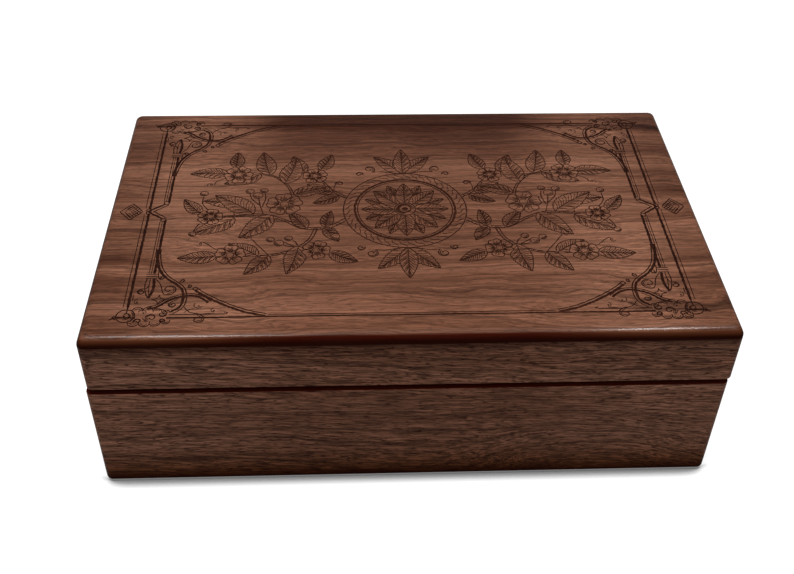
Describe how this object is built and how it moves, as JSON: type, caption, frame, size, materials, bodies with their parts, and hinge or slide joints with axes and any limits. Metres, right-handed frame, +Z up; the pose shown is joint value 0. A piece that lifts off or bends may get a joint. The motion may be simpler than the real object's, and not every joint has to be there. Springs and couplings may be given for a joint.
{
  "type": "hinged wooden box",
  "caption": "Rectangular wooden box with mitred corners, a hinged lid with a rounded, engraved top panel, and crossed dividers that part the inside into compartments.",
  "frame": {"origin": "centre of the underside that the box stands on", "axes": "+X along the long side, to the right as seen from the front; +Y towards the hinges at the back; +Z up"},
  "size_m": [0.2927, 0.184, 0.0935],
  "materials": {
    "case_wood": "satin, dark stained",
    "panel_wood": "satin, oiled",
    "board_wood": "matt, oiled",
    "brass": "brushed"
  },
  "bodies": {
    "base": {"base_front_wall": "case_wood", "base_back_wall": "case_wood", "base_left_wall": "case_wood", "base_right_wall": "case_wood", "bottom_panel": "board_wood", "long_divider": "board_wood", "cross_divider_1": "board_wood", "cross_divider_2": "board_wood", "cross_divider_3": "board_wood", "hinge_left_base_leaf": "brass", "hinge_left_pin": "brass", "hinge_right_base_leaf": "brass", "hinge_right_pin": "brass", "base_hinge_screws": "brass"},
    "lid": {"lid_front_rail": "case_wood", "lid_back_rail": "case_wood", "lid_left_rail": "case_wood", "lid_right_rail": "case_wood", "lid_top_panel": "panel_wood", "hinge_left_lid_leaf": "brass", "hinge_right_lid_leaf": "brass", "lid_hinge_screws": "brass"}
  },
  "joints": [
    {"name": "lid_hinge", "type": "hinge", "parent": "base", "child": "lid", "pos_m": [0, 0.089, 0.0632], "axis": [-1, 0, 0], "range_deg": [0, 95]}
  ]
}
